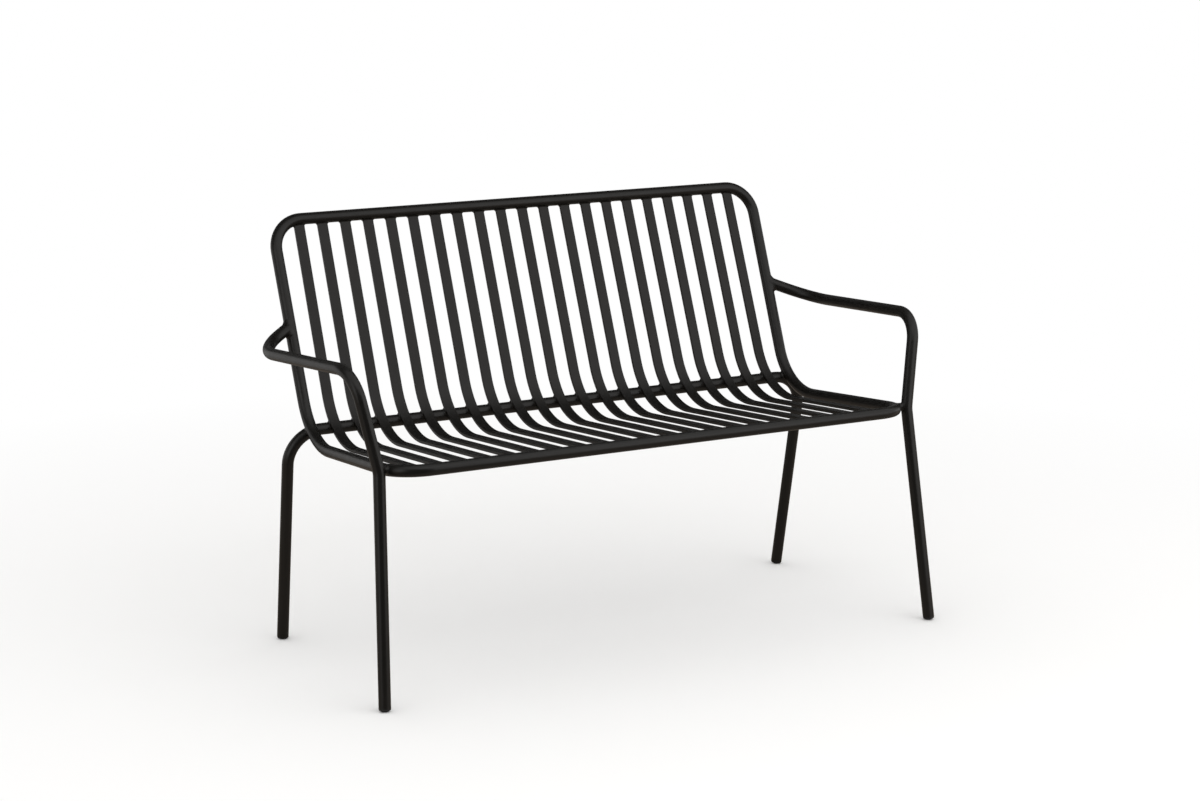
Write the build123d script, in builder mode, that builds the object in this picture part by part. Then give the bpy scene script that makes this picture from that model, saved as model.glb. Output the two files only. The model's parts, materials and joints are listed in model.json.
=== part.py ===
from build123d import *
import os
from math import cos, radians, sin

# Garden sofa: a welded steel frame of bent round tube with a seat and back of bent flat bars.
# Millimetres. +Z is up, the front faces -Y, and left is -X, as seen from the front.
# The origin lies on the floor, under the middle of the sofa's width and depth.

# Overall size
overall_height = 796  # floor to the top of the back rail
overall_depth = 600  # front of the front legs to the back of the back rail
seat_height = 426  # floor to the top of the front rail

# Stock
tube_diameter = 22
tube_wall = 1.5
slat_width = 20
slat_thickness = 6
slat_edge_radius = 0.8  # rounded corners of the flat bar
weld_gap = 0.1  # root gap left between pieces that are welded together
bar_gap = 0.2  # the same between the cross bar and the middle slat

# Frame loop round the back and the seat, between the tubes' centre lines
back_width = 1056  # at the back rail
crease_width = 1052  # where the straight lines of back and seat meet
front_width = 1080  # at the front rail
front_rail_setback = 21  # front of the front rail behind the front of the legs
seat_run = 397.5  # front rail back to the crease
seat_drop = 29.5  # front rail down to the crease
top_corner_radius = 58
side_bend_radius = 118
front_corner_radius = 63
seam_share = 0.5  # where the two hoops of the loop meet, from the crease to the front rail

# Slats
slat_count = 21
slat_bend_radius = 128
slat_setback = 1.8  # mid surface of the slats behind the centre lines of the side tubes
slat_margin_top = 54.5  # outermost slat to the side tube, centre to centre
slat_margin_crease = 49
slat_margin_front = 55

# Rear legs, one hoop with the cross bar
bar_bend_share = 0.36  # place of the cross bar on the slats' bend, from the back to the seat
hoop_width = 1132  # where the lines of cross bar and legs meet
hoop_bend_radius = 63
rear_foot_spacing = 1115
rear_foot_setback = 87.5  # foot centre in front of the back of the back rail

# Arms, each one tube with a front leg
arm_joint_share = 0.47  # weld on the side tube, from the back rail to the crease
arm_rear_spacing = 1216
arm_rear_lead = 44  # in front of the weld
arm_rear_height = 564
arm_rear_bend_radius = 95
arm_front_spacing = 1186
arm_front_setback = 94  # behind the front of the legs
arm_front_height = 588
arm_front_bend_radius = 58
leg_joint_angle = 18.2  # where the leg meets the seat's corner, forward of straight out
leg_joint_gap = 4  # between the surfaces of the two tubes there, bridged by a peg
leg_kink_radius = 53
peg_diameter = 14
peg_rise = 2.5  # axis of the peg above the centre line of the seat's corner
front_foot_spacing = 1164
front_foot_overhang = 0.8  # foot centre past a tube radius inside the overall depth

# Glides pressed into the leg ends
glide_setback = 0.4  # flange inside the outline of the tube
glide_flange = 2
glide_dome = 4
glide_wear = 0.8  # flat that the floor cuts off the dome
glide_stem_length = 18
glide_stem_clearance = 1
glide_rib_clearance = 0.1
glide_rib_thickness = 1.2
glide_rib_count = 3

tube_r = tube_diameter / 2
bore_r = tube_r - tube_wall
os.makedirs("parts", exist_ok=True)


def save(part, name):
    """Label a finished piece and write its file."""
    part.label = name
    export_step(part, f"parts/{name}.step")


def end_plane(line):
    """Plane square to a centre line at its start."""
    return Plane(line @ 0, z_dir=line % 0)


def mirrored(points):
    """The same points on the other side of the sofa, in reverse order."""
    return [Vector(-point.X, point.Y, point.Z) for point in reversed(points)]


def bend_centre(before, corner, after, radius):
    """Centre of the bend that joins the straight runs on both sides of a corner."""
    to_before = (before - corner).normalized()
    to_after = (after - corner).normalized()
    half_angle = to_before.get_angle(to_after) / 2
    return corner + (to_before + to_after).normalized() * (radius / sin(radians(half_angle)))


# Side view of the frame: back rail, crease and front rail as points with X = 0
back_y = overall_depth / 2
front_y = -overall_depth / 2
top = Vector(0, back_y - tube_r, overall_height - tube_r)
front = Vector(0, front_y + front_rail_setback + tube_r, seat_height - tube_r)
crease = Vector(0, front.Y + seat_run, front.Z - seat_drop)
back_run = (crease - top).normalized()
seat_line = (front - crease).normalized()
behind_back = Vector(0, -back_run.Z, back_run.Y)
below_seat = Vector(0, -seat_line.Z, seat_line.Y)
crease_shift = (behind_back + below_seat) / (1 + behind_back.dot(below_seat))

# Frame loop, as points of its right half
top_right = top + Vector(back_width / 2, 0, 0)
crease_right = crease + Vector(crease_width / 2, 0, 0)
front_right = front + Vector(front_width / 2, 0, 0)
seam_right = crease_right + (front_right - crease_right) * seam_share
back_points = [seam_right, crease_right, top_right]
back_path = back_points + mirrored(back_points)
back_radii = [side_bend_radius, top_corner_radius, top_corner_radius, side_bend_radius]
rail_points = [seam_right, front_right]
rail_path = rail_points + mirrored(rail_points)

# Back frame tube: back rail, both sides and the rear half of the seat's sides
with BuildPart() as back_frame:
    with BuildLine() as back_line:
        FilletPolyline(*back_path, radius=back_radii)
    with BuildSketch(end_plane(back_line.line)):
        Circle(tube_r)
        Circle(bore_r, mode=Mode.SUBTRACT)
    sweep(path=back_line.line)
save(back_frame.part, "back_frame_tube")

# Front rail tube: front rail, both front corners and the front half of the seat's sides
with BuildPart() as front_rail:
    with BuildLine() as rail_line:
        FilletPolyline(*rail_path, radius=front_corner_radius)
    with BuildSketch(end_plane(rail_line.line)):
        Circle(tube_r)
        Circle(bore_r, mode=Mode.SUBTRACT)
    sweep(path=rail_line.line)
save(front_rail.part, "front_rail_tube")

# Room that the frame loop takes, with the weld gap, for the ends that are cut to fit it
with BuildPart() as back_frame_room:
    with BuildSketch(end_plane(back_line.line)):
        Circle(tube_r + weld_gap)
    sweep(path=back_line.line)
with BuildPart() as front_rail_room:
    with BuildSketch(end_plane(rail_line.line)):
        Circle(tube_r + weld_gap)
    sweep(path=rail_line.line)

# Slats: each follows the side tubes from the back rail to the front rail
slat_top = top + behind_back * slat_setback
slat_crease = crease + crease_shift * slat_setback
slat_front = front + below_seat * slat_setback
half_count = (slat_count - 1) / 2
for number in range(slat_count):
    place_share = (number - half_count) / half_count
    slat_path = [
        slat_top + Vector(place_share * (back_width / 2 - slat_margin_top), 0, 0),
        slat_crease + Vector(place_share * (crease_width / 2 - slat_margin_crease), 0, 0),
        slat_front + Vector(place_share * (front_width / 2 - slat_margin_front), 0, 0),
    ]
    across = (slat_path[1] - slat_path[0]).cross(slat_path[2] - slat_path[1])
    with BuildPart() as slat:
        with BuildLine() as slat_line:
            FilletPolyline(*slat_path, radius=slat_bend_radius)
        with BuildSketch(Plane(slat_path[0], x_dir=across, z_dir=slat_line.line % 0)):
            RectangleRounded(slat_width, slat_thickness, slat_edge_radius)
        sweep(path=slat_line.line)
        add(back_frame_room.part, mode=Mode.SUBTRACT)
        add(front_rail_room.part, mode=Mode.SUBTRACT)
    save(slat.part, f"slat_{number + 1:02d}")

# Cross bar: its centre line lies behind the slats' bend, so that the bar touches each slat
slat_bend = bend_centre(slat_top, slat_crease, slat_front, slat_bend_radius)
bar_reach = slat_bend_radius + slat_thickness / 2 + bar_gap + tube_r
bar_angle = bar_bend_share * back_run.get_angle(seat_line)
bar = slat_bend + behind_back.rotate(Axis.X, -bar_angle) * bar_reach

# Glides: the dome stands on the floor, cut flat by it, and its flange closes the leg's end
flange_r = tube_r - glide_setback
dome_r = (flange_r**2 + glide_dome**2) / (2 * glide_dome)
dome_height = dome_r - glide_wear
end_drop = dome_r - glide_dome - glide_flange


def leg_end(knee, foot):
    """Centre of a leg's cut end, from a point on the leg and the floor point of its line."""
    down = (foot - knee).normalized()
    dome_centre = foot + down * (dome_height / down.Z)
    return dome_centre + down * end_drop


# Rear leg hoop: cross bar and both rear legs, notched where the side tubes lie in it
hoop_corner = Vector(hoop_width / 2, bar.Y, bar.Z)
rear_foot = Vector(rear_foot_spacing / 2, back_y - rear_foot_setback, 0)
hoop_points = [leg_end(hoop_corner, rear_foot), hoop_corner]
hoop_path = hoop_points + mirrored(hoop_points)
with BuildPart() as rear_legs:
    with BuildLine() as hoop_line:
        FilletPolyline(*hoop_path, radius=hoop_bend_radius)
    with BuildSketch(end_plane(hoop_line.line)):
        Circle(tube_r)
        Circle(bore_r, mode=Mode.SUBTRACT)
    sweep(path=hoop_line.line)
    add(back_frame_room.part, mode=Mode.SUBTRACT)
save(rear_legs.part, "rear_leg_hoop")

# Arms with the front legs: the leg's kink stands just off the round corner of the seat
seat_corner = bend_centre(crease_right, front_right, front, front_corner_radius)
leg_out = Vector(cos(radians(leg_joint_angle)), -sin(radians(leg_joint_angle)), 0)
corner_y = seat_corner.Y + leg_out.Y * front_corner_radius
joint_height = front.Z - (corner_y - front.Y) * seat_drop / seat_run
peg_reach = tube_diameter + leg_joint_gap
kink_reach = front_corner_radius + peg_reach
arm_start = top_right + (crease_right - top_right) * arm_joint_share
arm_rear = Vector(arm_rear_spacing / 2, arm_start.Y - arm_rear_lead, arm_rear_height)
arm_front = Vector(arm_front_spacing / 2, front_y + arm_front_setback, arm_front_height)
front_foot = Vector(front_foot_spacing / 2, front_y + tube_r - front_foot_overhang, 0)


def beyond_corner(reach):
    """Point at the joint's height, at a distance out from the centre of the seat's corner."""
    return Vector(seat_corner.X + leg_out.X * reach, seat_corner.Y + leg_out.Y * reach, joint_height)


sharp_kink = beyond_corner(kink_reach)
kink_turn = (sharp_kink - arm_front).get_angle(front_foot - sharp_kink)
kink_rounding = leg_kink_radius * (1 / cos(radians(kink_turn / 2)) - 1)
kink = beyond_corner(kink_reach - kink_rounding)
corner_point = beyond_corner(front_corner_radius)
arm_points = [arm_start, arm_rear, arm_front, kink, leg_end(kink, front_foot)]
arm_radii = [arm_rear_bend_radius, arm_front_bend_radius, leg_kink_radius]
for side_name, side in (("left", -1), ("right", 1)):
    with BuildPart() as arm:
        with BuildLine() as arm_line:
            arm_path = [Vector(side * point.X, point.Y, point.Z) for point in arm_points]
            FilletPolyline(*arm_path, radius=arm_radii)
        with BuildSketch(end_plane(arm_line.line)):
            Circle(tube_r)
            Circle(bore_r, mode=Mode.SUBTRACT)
        sweep(path=arm_line.line)
        add(back_frame_room.part, mode=Mode.SUBTRACT)
    save(arm.part, f"arm_leg_{side_name}")

    # Peg: short round bar welded between the seat's corner and the leg, fitted to both tubes
    with BuildPart() as arm_room:
        with BuildSketch(end_plane(arm_line.line)):
            Circle(tube_r + weld_gap)
        sweep(path=arm_line.line)
    peg_start = Vector(side * corner_point.X, corner_point.Y, corner_point.Z + peg_rise)
    with BuildPart() as peg:
        with BuildSketch(Plane(peg_start, z_dir=Vector(side * leg_out.X, leg_out.Y, 0))):
            Circle(peg_diameter / 2)
        extrude(amount=peg_reach)
        add(front_rail_room.part, mode=Mode.SUBTRACT)
        add(arm_room.part, mode=Mode.SUBTRACT)
    save(peg.part, f"leg_peg_{side_name}")

# Glides: ribbed stem inside the tube, flange against its cut end, dome on the floor
stem_r = bore_r - glide_stem_clearance
rib_r = bore_r - glide_rib_clearance
rib_spacing = glide_stem_length / (glide_rib_count + 1)
legs = {"front": (kink, front_foot), "rear": (hoop_corner, rear_foot)}
for leg_name, (knee, foot) in legs.items():
    for side_name, side in (("left", -1), ("right", 1)):
        end = leg_end(knee, foot)
        end = Vector(side * end.X, end.Y, end.Z)
        up = Vector(side * (knee.X - foot.X), knee.Y - foot.Y, knee.Z - foot.Z).normalized()
        outward = Vector(0, 1, 0).cross(up).normalized()
        with BuildPart() as glide:
            with BuildSketch(Plane(end, x_dir=outward, z_dir=outward.cross(up))):
                with Locations((stem_r / 2, glide_stem_length / 2)):
                    Rectangle(stem_r, glide_stem_length)
                with Locations(*[(rib_r / 2, (i + 1) * rib_spacing) for i in range(glide_rib_count)]):
                    Rectangle(rib_r, glide_rib_thickness)
                with Locations((flange_r / 2, -glide_flange / 2)):
                    Rectangle(flange_r, glide_flange)
                with BuildLine():
                    RadiusArc((flange_r, -glide_flange), (0, -glide_flange - glide_dome), dome_r)
                    Polyline((0, -glide_flange - glide_dome), (0, -glide_flange), (flange_r, -glide_flange))
                make_face()
            revolve(axis=Axis(end, up))
            split(bisect_by=Plane.XY, keep=Keep.TOP)
        save(glide.part, f"glide_{leg_name}_{side_name}")
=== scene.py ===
import json
from math import pi, radians, sin, sqrt

import bmesh
import bpy
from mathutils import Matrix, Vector, noise
from mathutils.bvhtree import BVHTree


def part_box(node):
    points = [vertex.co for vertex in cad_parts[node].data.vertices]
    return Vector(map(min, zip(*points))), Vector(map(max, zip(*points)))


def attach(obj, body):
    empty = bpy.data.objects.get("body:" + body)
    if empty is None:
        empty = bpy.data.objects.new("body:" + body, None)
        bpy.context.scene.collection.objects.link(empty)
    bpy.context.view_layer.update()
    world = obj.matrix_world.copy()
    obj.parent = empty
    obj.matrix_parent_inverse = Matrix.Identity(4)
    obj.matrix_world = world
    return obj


# Garden sofa: its finish and weld beads, with a camera and a studio around it.
# Metres. +Z is up, the front faces -Y, and left is -X, as seen from the front.
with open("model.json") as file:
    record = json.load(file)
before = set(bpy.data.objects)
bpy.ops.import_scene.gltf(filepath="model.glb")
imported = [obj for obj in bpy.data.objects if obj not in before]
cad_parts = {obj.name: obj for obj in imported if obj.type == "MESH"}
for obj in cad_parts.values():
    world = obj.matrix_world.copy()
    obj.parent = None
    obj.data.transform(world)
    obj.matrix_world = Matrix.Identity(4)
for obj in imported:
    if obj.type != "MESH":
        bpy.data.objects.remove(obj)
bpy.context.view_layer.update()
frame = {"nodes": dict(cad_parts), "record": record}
nodes = frame["nodes"]

# Camera of the photograph
image_width = 1200  # pixels
focal_length = 2770.05  # pixels
sensor_width = 36  # millimetres
camera_place = Vector((-2.5377, -4.4709, 1.4961))
camera_heading = radians(-29.706)  # from +Y, positive towards -X
camera_pitch = radians(-11.6)
camera_clip = (0.05, 60)  # nearest and farthest that it sees

# Noises of the finishes: size of their features, detail, roughness of the detail
cloud_noise = (0.09, 3, 0.5)
speck_noise = (0.0011, 2, 0.5)
gloss_noise = (0.018, 4, 0.6)
peel_noise = (0.0042, 1, 0.5)
grain_noise = (0.0007, 2, 0.6)
scuff_noise = (0.0016, 5, 0.7)
mould_noise = (0.0006, 1, 0.5)
noise_low, noise_high = 0.3, 0.7  # most values of a noise lie between these
mix_low, mix_high, mix_result = 6, 7, 2  # places of a Mix node's colour sockets

# Bumps of the finishes: strength and depth
peel_bump = (0.25, 0.0002)
grain_bump = (0.35, 0.00008)
mould_bump = (0.25, 0.00006)

# Powder coat
frame_dark, frame_light = (0.0038, 0.0033, 0.0027), (0.0056, 0.0049, 0.0039)
slat_dark, slat_light = (0.0038, 0.0034, 0.0028), (0.0056, 0.0050, 0.0041)
frame_tint, slat_tint = (1, 0.99, 0.985), (0.98, 0.955, 0.945)  # of their sheen
frame_roughness, slat_roughness = 0.34, 0.38
roughness_change = 0.035  # up and down
coat_specular = 0.28
speck_share = 0.35  # of the tone changes, where clouds make the rest

# Plastic of the glides
plastic_dark, plastic_light = (0.008, 0.008, 0.008), (0.045, 0.043, 0.040)
plastic_roughness = (0.5, 0.62)
plastic_specular = 0.4
wear_share = 0.55  # of the light colour in the scuffs at the floor
wear_height = 0.004  # where the scuffs end

# Object size that the welds follow
tube_radius = 0.011

# Weld beads
weld_slot = "frame_coat"
weld_leg = 0.0036  # root to toe of a bead
weld_sink = 0.0004  # depth of a bead's edges in what it joins
root_sink_share = 0.7  # of both edges' depths together, at the root
weld_hollow = 0.55  # pull on a bead's face, from flat at 0 towards the root at 1
clean_share = 0.25  # size of a slat's bead on the side that shows, kept clean by the welder
arm_share = 1.7  # size of the beads where the arms meet the back
peg_share = 0.6  # size of the beads in the narrow gap that a peg bridges
face_shares = (1 / 6, 1 / 3, 1 / 2, 2 / 3, 5 / 6)  # points across a bead's face
toe_a_place, toe_b_place = 1, -3  # places of the toes in a section of a bead
bar_weld_up = 0.0085  # how far a bead runs along the slat, from its contact with the bar
bar_weld_down = 0.0075
taper_share, taper_power = 0.85, 3  # how much such a bead thins towards its ends, and how late

# Unevenness of the welder's hand, with rates per metre along a bead
leg_change, leg_change_rate = 0.10, 90
ripple_pitch = 0.0019
ripple_depth = 0.00016
ripple_change_rate = 140
ripple_delay = 1.5  # radians that a ripple comes early or late, at most
ripple_swell = 0.8  # share of its depth that a ripple rises or falls, at most
leg_noise_row, ripple_noise_row = 5, 0  # rows of the noise that the two read
bead_count = 4  # beads of a slat, and beads at a side of the frame
slat_seed_step = 30  # between the seeds of a slat's beads
side_seed_step = 5  # between the seeds of the beads at a side of the frame

# Seams that the beads are laid round
seam_reach = 0.0006  # a point this close to the other piece belongs to the seam
seam_step = 0.0006  # between the sections of a bead
seam_smoothing = 3  # neighbours on each side that a point of a seam is averaged with
facing_smoothing = 2 * seam_smoothing  # the same for the directions that the other piece faces
merge_distance = 1e-6
cut_cosine = -0.5  # a cut face looks at least this squarely at the other piece
fewest_corners = 6  # of an outline that is a seam
fewest_sections = 8

# Floor and surroundings
floor_reach = 14  # half the floor's side
floor_fade = (0.9, 2.4)  # distances between which the floor turns from lit to plain white
floor_colour = (0.93, 0.928, 0.922)
surroundings_colour = (0.95, 0.945, 0.94)

# Soft boxes: place, the point that they face, width, height, watts
right_box = ((1.6, -3.1, 1.1), (0, 0, 0.8), 4.2, 2.2, 23.5)
left_box = ((-3.2, -2.0, 1.1), (0, 0, 0.8), 3.0, 2.2, 18.0)
top_box = ((0.6, -2.15, 3.03), (0.5, -0.39, 0.6), 4.5, 1.6, 12.6)

# Cards, which make up the studio as its reflections in the photograph show it
card_lift = 0.002  # a card that lies on the floor, above it
mat_lift = 2 * card_lift  # a mat that lies on such a card
# Tones of the cards' painted reflections
brown = (0.37, 0.315, 0.265)
grey = (0.15, 0.15, 0.15)
black = (0.03, 0.03, 0.03)

# Dark gap between the front boxes, painted as a dark reflection that only the sheen shows: its ends are
# this far towards the camera, and to the right
gap_left = (1.25, -0.78)
gap_right = (1.74, 1.48)
gap_depth = 0.5
gap_height = 1.15

# Dark room behind and above, painted as dark reflections that only the sheen shows
back_wall_reflection = 8
back_wall_height = 7
back_half_width = 9.5
back_mat_near = 1.2
back_mat_left = -0.7
canopy_edge = 0.06
canopy_height = 1.6
canopy_half_width = 6

# Glowing card at the back left, no lamp: a painted reflection of a bright soft box that only the sheen
# shows
glow_left, glow_right = Vector((-1.6, 0.75)), Vector((-0.74, 1.25))
glow_step, glow_height = 0.35, 0.95  # tops of its lower and its upper part
low_glow_reflection = (0.72, 0.705, 0.69)
high_glow_reflection = (1, 0.99, 0.98)


def put_in_scene(name, data):
    """New object of the scene."""
    thing = bpy.data.objects.new(name, data)
    bpy.context.scene.collection.objects.link(thing)
    return thing


def clear_tree(owner, output_kind="ShaderNodeOutputMaterial"):
    """Empty the node tree of a material or world, and return it with a new output."""
    owner.use_nodes = True
    tree = owner.node_tree
    tree.nodes.clear()
    return tree, tree.nodes.new(output_kind)


def make_noise(tree, place, size, detail, roughness):
    """Noise whose features are about one size across, in metres."""
    texture = tree.nodes.new("ShaderNodeTexNoise")
    texture.inputs["Scale"].default_value = 1 / size
    texture.inputs["Detail"].default_value = detail
    texture.inputs["Roughness"].default_value = roughness
    tree.links.new(place, texture.inputs["Vector"])
    return texture.outputs["Fac"]


def make_range(tree, value, low, high, from_low=noise_low, from_high=noise_high):
    """Map a value, such as a noise, to a range."""
    node = tree.nodes.new("ShaderNodeMapRange")
    node.inputs["From Min"].default_value = from_low
    node.inputs["From Max"].default_value = from_high
    node.inputs["To Min"].default_value = low
    node.inputs["To Max"].default_value = high
    tree.links.new(value, node.inputs["Value"])
    return node.outputs["Result"]


def make_maths(tree, operation, first, second, clamp=False):
    """Sum or product of two values."""
    node = tree.nodes.new("ShaderNodeMath")
    node.operation = operation
    node.use_clamp = clamp
    tree.links.new(first, node.inputs[0])
    tree.links.new(second, node.inputs[1])
    return node.outputs["Value"]


def make_mix(tree, share, low_colour, high_colour):
    """Mix two colours by a share."""
    mix = tree.nodes.new("ShaderNodeMix")
    mix.data_type = "RGBA"
    mix.inputs[mix_low].default_value = (*low_colour, 1)
    mix.inputs[mix_high].default_value = (*high_colour, 1)
    tree.links.new(share, mix.inputs[0])
    return mix.outputs[mix_result]


def mix_shaders(tree, share, first, second):
    """Mix two shaders by a share."""
    mix = tree.nodes.new("ShaderNodeMixShader")
    tree.links.new(share, mix.inputs["Fac"])
    tree.links.new(first, mix.inputs[1])
    tree.links.new(second, mix.inputs[2])
    return mix.outputs["Shader"]


def make_bump(tree, height, strength, depth, normal=None):
    """Bump by a height, over another bump's normal where one is given."""
    bump = tree.nodes.new("ShaderNodeBump")
    bump.inputs["Strength"].default_value = strength
    bump.inputs["Distance"].default_value = depth
    tree.links.new(height, bump.inputs["Height"])
    if normal is not None:
        tree.links.new(normal, bump.inputs["Normal"])
    return bump.outputs["Normal"]


def make_background_rays(tree):
    """One for the rays that see the background as white: from the camera, and off gloss or glass."""
    rays = tree.nodes.new("ShaderNodeLightPath")
    total = rays.outputs["Is Camera Ray"]
    for kind in ("Is Glossy Ray", "Is Transmission Ray"):
        total = make_maths(tree, "ADD", total, rays.outputs[kind], clamp=True)
    return total


def make_finish(name):
    """New material with one shader: returns it, its tree, its place in the object and the shader."""
    material = bpy.data.materials.new(name)
    tree, output = clear_tree(material)
    place = tree.nodes.new("ShaderNodeTexCoord").outputs["Object"]
    shader = tree.nodes.new("ShaderNodeBsdfPrincipled")
    tree.links.new(shader.outputs["BSDF"], output.inputs["Surface"])
    return material, tree, place, shader


def powder_coat(name, dark, light, roughness, sheen_tint):
    """Satin black powder coat: fine grain over a soft orange peel, with faint tone changes."""
    material, tree, place, shader = make_finish(name)

    cloud = make_noise(tree, place, *cloud_noise)
    speck = make_noise(tree, place, *speck_noise)
    tone = tree.nodes.new("ShaderNodeMath")
    tone.operation = "MULTIPLY_ADD"
    tone.inputs[1].default_value = speck_share
    tree.links.new(speck, tone.inputs[0])
    tree.links.new(make_range(tree, cloud, 0, 1 - speck_share), tone.inputs[2])
    colour = make_mix(tree, tone.outputs["Value"], dark, light)
    tree.links.new(colour, shader.inputs["Base Color"])

    gloss = make_noise(tree, place, *gloss_noise)
    rough = make_range(tree, gloss, roughness - roughness_change, roughness + roughness_change)
    tree.links.new(rough, shader.inputs["Roughness"])
    shader.inputs["Specular IOR Level"].default_value = coat_specular
    shader.inputs["Specular Tint"].default_value = (*sheen_tint, 1)

    peel = make_bump(tree, make_noise(tree, place, *peel_noise), *peel_bump)
    grain = make_bump(tree, make_noise(tree, place, *grain_noise), *grain_bump, peel)
    tree.links.new(grain, shader.inputs["Normal"])
    return material


def moulded_plastic(name, dark, light):
    """Matt black polyethylene with a faint moulding grain and scuffs near the floor."""
    material, tree, place, shader = make_finish(name)

    height = tree.nodes.new("ShaderNodeSeparateXYZ")
    tree.links.new(place, height.inputs["Vector"])
    wear = make_range(tree, height.outputs["Z"], wear_share, 0, 0, wear_height)
    scuff = make_noise(tree, place, *scuff_noise)
    colour = make_mix(tree, make_maths(tree, "MULTIPLY", wear, scuff), dark, light)
    tree.links.new(colour, shader.inputs["Base Color"])
    tree.links.new(make_range(tree, scuff, *plastic_roughness), shader.inputs["Roughness"])
    shader.inputs["Specular IOR Level"].default_value = plastic_specular

    grain = make_bump(tree, make_noise(tree, place, *mould_noise), *mould_bump)
    tree.links.new(grain, shader.inputs["Normal"])
    return material


def paint_nodes():
    """Give each CAD node the finish of its material slot."""
    for part in frame["record"]["subparts"]:
        mesh = nodes[part["node"]].data
        mesh.materials.clear()
        mesh.materials.append(finishes[part["material_slot"]])


def surface_of(node):
    """Search tree over the faces of a CAD node."""
    mesh = nodes[node].data
    return BVHTree.FromPolygons([v.co for v in mesh.vertices], [p.vertices for p in mesh.polygons])


def cut_faces(mesh, other):
    """Faces where a mesh is cut to fit another surface: close to it all round, and facing it."""
    facing = {}
    for vert in mesh.verts:
        _, normal, _, distance = other.find_nearest(vert.co)
        if distance < seam_reach:
            facing[vert] = normal
    cut = set()
    for face in mesh.faces:
        if all(vert in facing and face.normal.dot(facing[vert]) < cut_cosine for vert in face.verts):
            cut.add(face)
    return cut


def seam_loops(node, other):
    """Outlines of the faces where a node is cut to fit another, as (point, outside normal) lists."""
    mesh = bmesh.new()
    mesh.from_mesh(nodes[node].data)
    bmesh.ops.remove_doubles(mesh, verts=mesh.verts, dist=merge_distance)
    cut = cut_faces(mesh, other)
    follow = {}
    for edge in mesh.edges:
        if sum(face in cut for face in edge.link_faces) == 1:
            for here, there in (edge.verts, reversed(edge.verts)):
                follow.setdefault(here, []).append(there)
    loops, used = [], set()
    for start in sorted(follow, key=lambda vert: vert.index):
        here, loop = start, []
        while here is not None and here not in used:
            used.add(here)
            outside = Vector()
            for face in here.link_faces:
                if face not in cut:
                    outside += face.normal * face.calc_area()
            loop.append((here.co.copy(), outside.normalized()))
            here = next((vert for vert in follow[here] if vert not in used), None)
        if len(loop) >= fewest_corners:
            loops.append(loop)
    mesh.free()
    return loops


def loop_length(points):
    """Length round a closed loop of points."""
    return sum((points[i] - points[i - 1]).length for i in range(len(points)))


def spread_evenly(points, values, step):
    """Points and values at even steps round a closed loop."""
    total = loop_length(points)
    count = max(fewest_sections, round(total / step))
    spots, carried = [], []
    index, passed = 0, 0.0
    for number in range(count):
        target = total * number / count
        while True:
            length = (points[(index + 1) % len(points)] - points[index]).length
            if passed + length >= target or index == len(points) - 1:
                break
            passed += length
            index += 1
        share = (target - passed) / length if length else 0
        following = (index + 1) % len(points)
        spots.append(points[index].lerp(points[following], share))
        carried.append(values[index].lerp(values[following], share).normalized())
    return spots, carried


def smoothed(vectors, reach):
    """Average of each vector and its neighbours round a closed loop, where the nearest count most."""
    count = len(vectors)
    result = []
    for i in range(count):
        total = Vector()
        for offset in range(-reach, reach + 1):
            total += vectors[(i + offset) % count] * (reach + 1 - abs(offset))
        result.append(total / (reach + 1) ** 2)
    return result


def loft(name, sections, closed):
    """Skin a row of sections into a bead, sharp along its toes, as a ring or capped at its ends."""
    size, count = len(sections[0]), len(sections)
    faces = []
    for i in range(count if closed else count - 1):
        near, far = i * size, (i + 1) % count * size
        for j in range(size):
            beside = (j + 1) % size
            faces.append((near + j, near + beside, far + beside, far + j))
    if not closed:
        faces.append(tuple(range(size)))
        faces.append(tuple(reversed(range((count - 1) * size, count * size))))
    mesh = bpy.data.meshes.new(name)
    mesh.from_pydata([point for section in sections for point in section], [], faces)
    shape = bmesh.new()
    shape.from_mesh(mesh)
    bmesh.ops.recalc_face_normals(shape, faces=shape.faces)
    for edge in shape.edges:
        places = {vert.index % size for vert in edge.verts}
        edge.smooth = places not in ({toe_a_place}, {size + toe_b_place})
    shape.to_mesh(mesh)
    shape.free()
    mesh.polygons.foreach_set("use_smooth", [True] * len(mesh.polygons))
    mesh.materials.append(finishes[weld_slot])
    piece = put_in_scene(name, mesh)
    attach(piece, "root")


def bead_section(root, toe_a, toe_b, sink_a, sink_b, lift):
    """Section of a weld bead: its hollow face from toe to toe, and its edges sunk in both pieces."""
    control = ((toe_a + toe_b) / 2).lerp(root, weld_hollow)
    section = [toe_a + sink_a, toe_a]
    for share in face_shares:
        point = toe_a * (1 - share) ** 2 + control * (2 * share * (1 - share)) + toe_b * share**2
        section.append(point + lift * sin(pi * share))
    return section + [toe_b, toe_b + sink_b, root + (sink_a + sink_b) * root_sink_share]


def uneven_leg(leg, travel, seed):
    """Leg of a bead after a distance along it, as the hand makes it longer and shorter."""
    return leg * (1 + leg_change * noise.noise(Vector((travel * leg_change_rate, seed, leg_noise_row))))


def ripple(travel, seed):
    """Height of the weld's ripples after a distance along it, with the hand's unevenness."""
    wander = noise.noise(Vector((travel * ripple_change_rate, seed, ripple_noise_row)))
    wave = (1 + sin(2 * pi * travel / ripple_pitch + ripple_delay * wander)) / 2
    return ripple_depth * (wave + ripple_swell * wander)


def square_to(along, normal, towards):
    """Direction square to a seam and to a normal, on the side where another direction points."""
    direction = along.cross(normal).normalized()
    return direction if direction.dot(towards) > 0 else -direction


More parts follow.
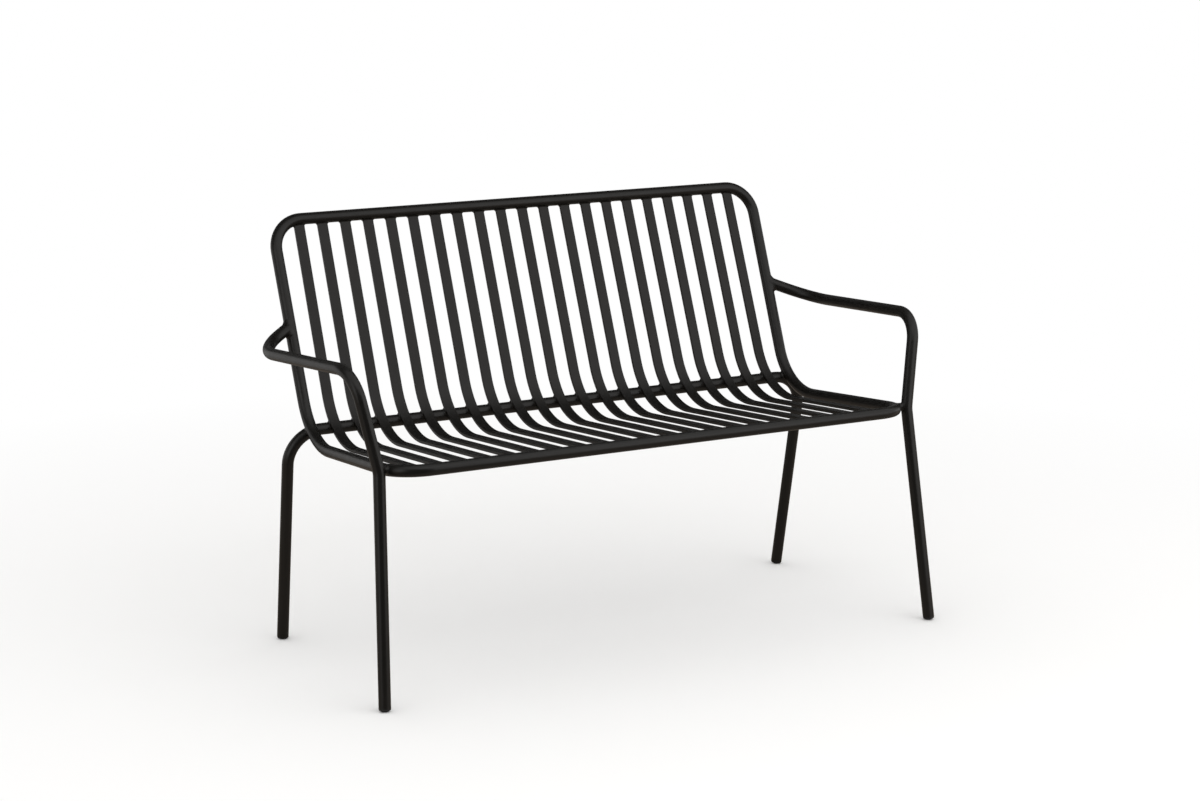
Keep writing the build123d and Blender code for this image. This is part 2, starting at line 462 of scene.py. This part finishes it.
def weld_round(name, node, other_node, seed, size=1, clean=None, side=0):
    """Bead round the seam where a node is cut to fit another, thin where its side is kept clean.
    Where a node has such a seam at both sides of the sofa, side picks one, by the sign of its X."""
    own, other = surface_of(node), surface_of(other_node)
    loops = [loop for loop in seam_loops(node, other) if loop[0][0].x * side >= 0]
    points, outside = zip(*max(loops, key=lambda loop: loop_length([point for point, _ in loop])))
    points, outside = spread_evenly(points, outside, seam_step)
    points = smoothed(points, seam_smoothing)
    outside = [normal.normalized() for normal in smoothed(outside, seam_smoothing)]
    facing = [other.find_nearest(point)[1] for point in points]
    facing = [normal.normalized() for normal in smoothed(facing, facing_smoothing)]
    sections = []
    for i, root in enumerate(points):
        along = (points[(i + 1) % len(points)] - points[i - 1]).normalized()
        up = square_to(along, outside[i], facing[i])
        out = square_to(along, facing[i], outside[i])
        travel = i * seam_step
        leg = uneven_leg(weld_leg * size, travel, seed)
        if clean is not None:
            leg *= 1 - (1 - clean_share) * max(0, outside[i].dot(clean)) ** 2
        toe_a = own.find_nearest(root + up * leg)[0]
        toe_b = other.find_nearest(root + out * leg)[0]
        sink_a, sink_b = -outside[i] * weld_sink, -facing[i] * weld_sink
        lift = (outside[i] + facing[i]).normalized() * ripple(travel, seed) * min(size, 1)
        sections.append(bead_section(root, toe_a, toe_b, sink_a, sink_b, lift))
    loft(name, sections, closed=True)


def weld_to_bar(name, slat, side, seed):
    """Bead in the corner between one side of a slat and the cross bar that the slat lies on."""
    own = surface_of(slat)
    across = Vector((side, 0, 0))
    hoop_low, hoop_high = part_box("rear_leg_hoop")
    slat_low, slat_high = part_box(slat)
    middle = (slat_low[0] + slat_high[0]) / 2
    bar = Vector((middle, hoop_low[1] + tube_radius, hoop_high[2] - tube_radius))
    rise = (own.find_nearest(bar)[0] - bar).normalized()
    run = rise.cross(Vector((1, 0, 0))).normalized()
    count = round((bar_weld_down + bar_weld_up) / seam_step)
    sections = []
    for i in range(count + 1):
        place = -bar_weld_down + (bar_weld_down + bar_weld_up) * i / count
        travel = i * seam_step
        taper = 1 - abs(2 * i / count - 1) ** taper_power * taper_share
        leg = uneven_leg(weld_leg * taper, travel, seed)
        normal = (rise * sqrt(tube_radius**2 - place**2) + run * place) / tube_radius
        ground = bar + normal * tube_radius
        back = own.ray_cast(ground - rise * tube_radius, rise)[0]
        toe_a = own.ray_cast(back + rise * leg + across, -across)[0]
        root = ground + across * (toe_a - ground).dot(across)
        toe_b = root + across * leg
        lift = (across + normal).normalized() * ripple(travel, seed)
        sections.append(bead_section(root, toe_a, toe_b, -across * weld_sink, -normal * weld_sink, lift))
    loft(name, sections, closed=False)


def weld_slats():
    """Weld each slat to the back rail, to the front rail and to the cross bar at both its sides."""
    forward, upward = Vector((0, -1, 0)), Vector((0, 0, 1))
    slats = sorted(name for name in nodes if name.startswith("slat_"))
    for number, slat in enumerate(slats):
        seeds = [number + slat_seed_step * i for i in range(bead_count)]
        top_seed, front_seed, left_seed, right_seed = seeds
        weld_round(f"weld_{slat}_top", slat, "back_frame_tube", top_seed, clean=forward)
        weld_round(f"weld_{slat}_front", slat, "front_rail_tube", front_seed, clean=upward)
        weld_to_bar(f"weld_{slat}_bar_left", slat, -1, left_seed)
        weld_to_bar(f"weld_{slat}_bar_right", slat, 1, right_seed)


def weld_sides():
    """Weld the arms, the pegs and the rear leg hoop at both sides of the frame."""
    for side_name, side in (("left", -1), ("right", 1)):
        arm, peg = f"arm_leg_{side_name}", f"leg_peg_{side_name}"
        first_seed = bead_count * slat_seed_step + side
        seeds = [first_seed + side_seed_step * i for i in range(bead_count)]
        arm_seed, seat_seed, leg_seed, hoop_seed = seeds
        weld_round(f"weld_arm_{side_name}", arm, "back_frame_tube", arm_seed, arm_share)
        weld_round(f"weld_peg_{side_name}_seat", peg, "front_rail_tube", seat_seed, peg_share)
        weld_round(f"weld_peg_{side_name}_leg", peg, arm, leg_seed, peg_share)
        weld_round(f"weld_hoop_{side_name}", "rear_leg_hoop", "back_frame_tube", hoop_seed, side=side)


def make_camera():
    """Camera at the photograph's place, heading and field of view."""
    data = bpy.data.cameras.new("photo_camera")
    data.sensor_width = sensor_width
    data.lens = sensor_width * focal_length / image_width
    data.clip_start, data.clip_end = camera_clip
    camera = put_in_scene("photo_camera", data)
    camera.location = camera_place
    camera.rotation_euler = (pi / 2 + camera_pitch, 0, camera_heading)
    bpy.context.scene.camera = camera


def lying(left, right, near, far, height):
    """Corners of a level card."""
    return [(left, near, height), (right, near, height), (right, far, height), (left, far, height)]


def standing(left, right, low, high):
    """Corners of an upright card between two places on the floor."""
    return [(*left.xy, low), (*right.xy, low), (*right.xy, high), (*left.xy, high)]


def whole_floor(height):
    """Corners of a level card as wide as the floor."""
    return lying(-floor_reach, floor_reach, -floor_reach, floor_reach, height)


def make_panel(name, corners, material):
    """Object with one four-cornered face."""
    mesh = bpy.data.meshes.new(name)
    mesh.from_pydata(corners, [], [(0, 1, 2, 3)])
    mesh.materials.append(material)
    return put_in_scene(name, mesh)


def make_floor():
    """Pale floor, wide enough for every view, which fades to the white background."""
    material = bpy.data.materials.new("pale_floor")
    tree, output = clear_tree(material)
    place = tree.nodes.new("ShaderNodeTexCoord").outputs["Object"]
    lit = tree.nodes.new("ShaderNodeBsdfDiffuse")
    lit.inputs["Color"].default_value = (*floor_colour, 1)
    white = tree.nodes.new("ShaderNodeEmission")
    reach = tree.nodes.new("ShaderNodeVectorMath")
    reach.operation = "LENGTH"
    tree.links.new(place, reach.inputs[0])
    fade = make_range(tree, reach.outputs["Value"], 0, 1, *floor_fade)
    share = make_maths(tree, "MULTIPLY", fade, make_background_rays(tree))
    surface = mix_shaders(tree, share, lit.outputs["BSDF"], white.outputs["Emission"])
    tree.links.new(surface, output.inputs["Surface"])
    floor = make_panel("floor", whole_floor(0), material)


def make_world():
    """Soft, nearly white surroundings, plain white for the rays that see the background."""
    world = bpy.data.worlds.new("studio")
    bpy.context.scene.world = world
    tree, output = clear_tree(world, "ShaderNodeOutputWorld")
    white = tree.nodes.new("ShaderNodeBackground")
    white.inputs["Color"].default_value = (1, 1, 1, 1)
    soft = tree.nodes.new("ShaderNodeBackground")
    soft.inputs["Color"].default_value = (*surroundings_colour, 1)
    rays = make_background_rays(tree)
    surface = mix_shaders(tree, rays, soft.outputs["Background"], white.outputs["Background"])
    tree.links.new(surface, output.inputs["Surface"])


def make_card(name, corners, colour, glowing=False):
    """Card of the studio that shows in the sheen of the coat and nowhere else: a painted reflection, dark,
    or glowing in place of a soft box, that lights and shades nothing.
    """
    material = bpy.data.materials.new(name)
    tree, output = clear_tree(material)
    surface = tree.nodes.new("ShaderNodeEmission" if glowing else "ShaderNodeBsdfDiffuse")
    surface.inputs["Color"].default_value = (*colour, 1)
    tree.links.new(surface.outputs[0], output.inputs["Surface"])
    card = make_panel(name, corners, material)
    card.visible_camera = False
    card.visible_diffuse = False
    card.visible_transmission = False
    card.visible_shadow = False


def make_front_cards():
    """Painted reflections of a brown floor, and of the dark gap between the front boxes that the camera
    looks through.
    """
    # Painted reflections, seen only in the sheen: a brown floor and a black gap with its mat
    make_card("brown_floor_reflection", whole_floor(card_lift), brown)
    to_camera = Vector((camera_place.x, camera_place.y, 0)).normalized()
    to_right = Vector((-to_camera.y, to_camera.x, 0))
    ends = [to_camera * towards + to_right * aside for towards, aside in (gap_left, gap_right)]
    make_card("front_gap_reflection", standing(*ends, 0, gap_height), black)
    lift = Vector((0, 0, mat_lift))
    near_ends = [end - to_camera * gap_depth for end in ends]
    make_card("front_mat_reflection", [corner + lift for corner in near_ends + ends[::-1]], black)


def make_back_cards():
    """Painted dark reflections of a room behind and above, and a glowing card at its left that paints the
    reflection of a soft box.
    """
    # Painted dark reflections, seen only in the sheen: a mat, a canopy and the back wall
    make_card("back_mat_reflection", lying(back_mat_left, back_half_width, back_mat_near, back_wall_reflection, mat_lift), grey)
    canopy_reflection = lying(-canopy_half_width, canopy_half_width, canopy_edge, back_wall_reflection, canopy_height)
    make_card("canopy_reflection", canopy_reflection, grey)
    left, right = Vector((-back_half_width, back_wall_reflection)), Vector((back_half_width, back_wall_reflection))
    make_card("back_wall_reflection", standing(left, right, 0, back_wall_height), grey)
    # Glowing cards, no lamps: painted highlights of a soft box, seen only in the sheen
    make_card("low_glow_reflection", standing(glow_left, glow_right, 0, glow_step), low_glow_reflection, glowing=True)
    make_card("high_glow_reflection", standing(glow_left, glow_right, glow_step, glow_height), high_glow_reflection, glowing=True)


def make_light(name, place, target, width, height, power):
    """Soft box that faces a point."""
    data = bpy.data.lights.new(name, "AREA")
    data.shape = "RECTANGLE"
    data.size = width
    data.size_y = height
    data.energy = power
    lamp = put_in_scene(name, data)
    lamp.visible_camera = False
    lamp.location = place
    lamp.rotation_euler = (Vector(target) - Vector(place)).to_track_quat("-Z", "Y").to_euler()


finishes = {
    "frame_coat": powder_coat("frame_coat", frame_dark, frame_light, frame_roughness, frame_tint),
    "slat_coat": powder_coat("slat_coat", slat_dark, slat_light, slat_roughness, slat_tint),
    "glide_plastic": moulded_plastic("glide_plastic", plastic_dark, plastic_light),
}
paint_nodes()
weld_slats()
weld_sides()
make_camera()
make_floor()
make_world()
make_front_cards()
make_back_cards()
make_light("right_box", *right_box)
make_light("left_box", *left_box)
make_light("top_box", *top_box)

bpy.context.scene.view_settings.view_transform = "Standard"
